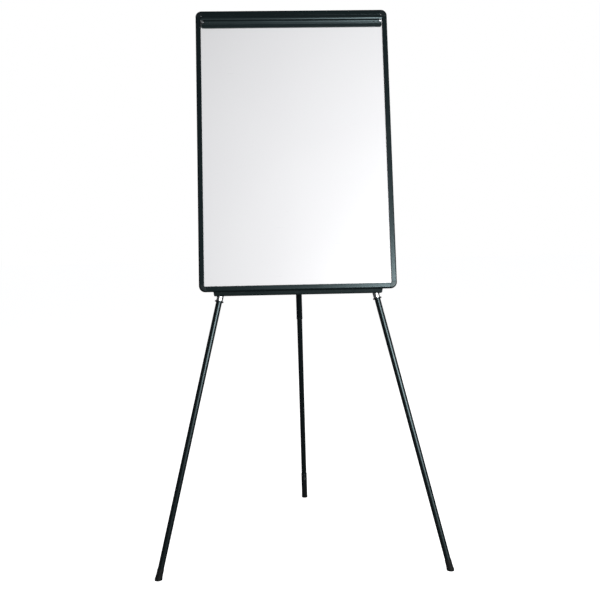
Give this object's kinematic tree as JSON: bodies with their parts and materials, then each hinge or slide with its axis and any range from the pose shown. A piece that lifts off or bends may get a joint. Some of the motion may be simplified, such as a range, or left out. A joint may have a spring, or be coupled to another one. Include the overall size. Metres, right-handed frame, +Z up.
{
  "type": "flipchart easel",
  "caption": "Free-standing flipchart easel: framed magnetic dry-wipe board with a sprung pad clamp, on a folding tripod of telescopic tube legs.",
  "frame": {"origin": "on the floor, under the middle of the easel's box", "axes": "+Z up, +X to the reader's right when facing the board, +Y away from the reader, towards the rear leg"},
  "size_m": [1.0296, 0.8905, 1.98],
  "materials": {
    "whiteboard": "gloss dry-wipe enamel",
    "fibre_core": "raw board, hidden",
    "backing": "mill-finish sheet",
    "rail": "satin charcoal coating",
    "corner_plastic": "fine moulded grain",
    "screw_zinc": "bright zinc plate",
    "black_screw": "black oxide",
    "clamp_black": "satin anodised black extrusion",
    "black_plastic": "moulded",
    "rubber_grip": "ribbed strip",
    "lug_zinc": "bright zinc plate",
    "spring_steel": "drawn wire",
    "black_steel": "semi-gloss black powder coat",
    "chrome_tube": "polished",
    "black_tube": "gloss black",
    "plug_plastic": "moulded",
    "collar_plastic": "moulded",
    "guide_nylon": "natural nylon",
    "foot_rubber": "moulded",
    "sleeve_plastic": "moulded"
  },
  "bodies": {
    "board": {"writing_surface": "whiteboard", "panel_core": "fibre_core", "backing_sheet": "backing", "rail_left": "rail", "rail_right": "rail", "rail_bottom": "rail", "rail_top": "rail", "corner_bottom_left": "corner_plastic", "corner_bottom_right": "corner_plastic", "corner_top_left": "corner_plastic", "corner_top_right": "corner_plastic", "corner_screws": "screw_zinc", "hinge_rail": "clamp_black", "clamp_lug_left": "lug_zinc", "clamp_lug_right": "lug_zinc", "clamp_pin_left": "screw_zinc", "clamp_pin_right": "screw_zinc", "clamp_spring_left": "spring_steel", "clamp_spring_right": "spring_steel", "crown_plate": "black_steel", "crown_housing": "black_steel", "crown_screws": "screw_zinc", "left_pivot_pin": "screw_zinc", "right_pivot_pin": "screw_zinc", "rear_clevis": "black_steel", "clevis_rivets": "screw_zinc", "rear_pivot_pin": "screw_zinc", "guide_front": "black_steel", "guide_strap": "black_steel", "guide_end_left": "black_plastic", "guide_end_right": "black_plastic", "guide_spacer": "black_plastic", "guide_screws": "screw_zinc"},
    "clamp": {"clamp_bar": "clamp_black", "clamp_end_left": "black_plastic", "clamp_end_right": "black_plastic", "clamp_screws": "black_screw", "grip_strip": "rubber_grip"},
    "left_upper_leg": {"left_upper_tube": "chrome_tube", "left_top_plug": "plug_plastic", "left_collar": "collar_plastic"},
    "left_knob": {"left_lock_knob": "collar_plastic"},
    "left_lower_leg": {"left_lower_tube": "black_tube", "left_guide_plug": "guide_nylon", "left_foot": "foot_rubber"},
    "right_upper_leg": {"right_upper_tube": "chrome_tube", "right_top_plug": "plug_plastic", "right_collar": "collar_plastic"},
    "right_knob": {"right_lock_knob": "collar_plastic"},
    "right_lower_leg": {"right_lower_tube": "black_tube", "right_guide_plug": "guide_nylon", "right_foot": "foot_rubber"},
    "rear_upper_leg": {"rear_upper_tube": "black_tube", "rear_top_plug": "plug_plastic", "rear_collar": "collar_plastic"},
    "rear_knob": {"rear_lock_knob": "collar_plastic"},
    "rear_lower_leg": {"rear_lower_tube": "black_tube", "rear_guide_plug": "guide_nylon", "rear_foot_sleeve": "sleeve_plastic", "rear_foot": "foot_rubber"}
  },
  "joints": [
    {"name": "clamp_hinge", "type": "hinge", "parent": "board", "child": "clamp", "pos_m": [0, -0.09074, 1.93648], "axis": [-1, 0, 0], "range_deg": [0, 35], "stiffness_Nm_per_rad": 0.6, "springref_deg": -20.05, "deforming": ["clamp_spring_left", "clamp_spring_right"]},
    {"name": "left_leg_swing", "type": "hinge", "parent": "board", "child": "left_upper_leg", "pos_m": [-0.064, -0.0728, 1.84793], "axis": [0, -0.9816, 0.1908], "range_deg": [0, 13.1]},
    {"name": "right_leg_swing", "type": "hinge", "parent": "board", "child": "right_upper_leg", "pos_m": [0.064, -0.0728, 1.84793], "axis": [0, 0.9816, -0.1908], "range_deg": [0, 13.1]},
    {"name": "rear_leg_swing", "type": "hinge", "parent": "board", "child": "rear_upper_leg", "pos_m": [0, -0.04287, 1.84211], "axis": [-0.9998, -0.004, -0.0206], "range_deg": [0, 25.5]},
    {"name": "left_leg_slide", "type": "slide", "parent": "left_upper_leg", "child": "left_lower_leg", "axis": [0.2267, 0.1858, 0.9561], "range_m": [-0.03, 0.8]},
    {"name": "right_leg_slide", "type": "slide", "parent": "right_upper_leg", "child": "right_lower_leg", "axis": [-0.2267, 0.1858, 0.9561], "range_m": [-0.03, 0.8]},
    {"name": "rear_leg_slide", "type": "slide", "parent": "rear_upper_leg", "child": "rear_lower_leg", "axis": [-0.0189, -0.2504, 0.968], "range_m": [-0.03, 0.7]},
    {"name": "left_knob_turn", "type": "hinge", "parent": "left_upper_leg", "child": "left_knob", "pos_m": [-0.2786, -0.23306, 0.93961], "axis": [0, 0.9816, -0.1908], "range_deg": [0, 270]},
    {"name": "right_knob_turn", "type": "hinge", "parent": "right_upper_leg", "child": "right_knob", "pos_m": [0.2786, -0.23306, 0.93961], "axis": [0, 0.9816, -0.1908], "range_deg": [0, 270]},
    {"name": "rear_knob_turn", "type": "hinge", "parent": "rear_upper_leg", "child": "rear_knob", "pos_m": [0.01965, 0.23481, 0.83267], "axis": [-0.009, 0.9681, 0.2503], "range_deg": [0, 270]}
  ]
}
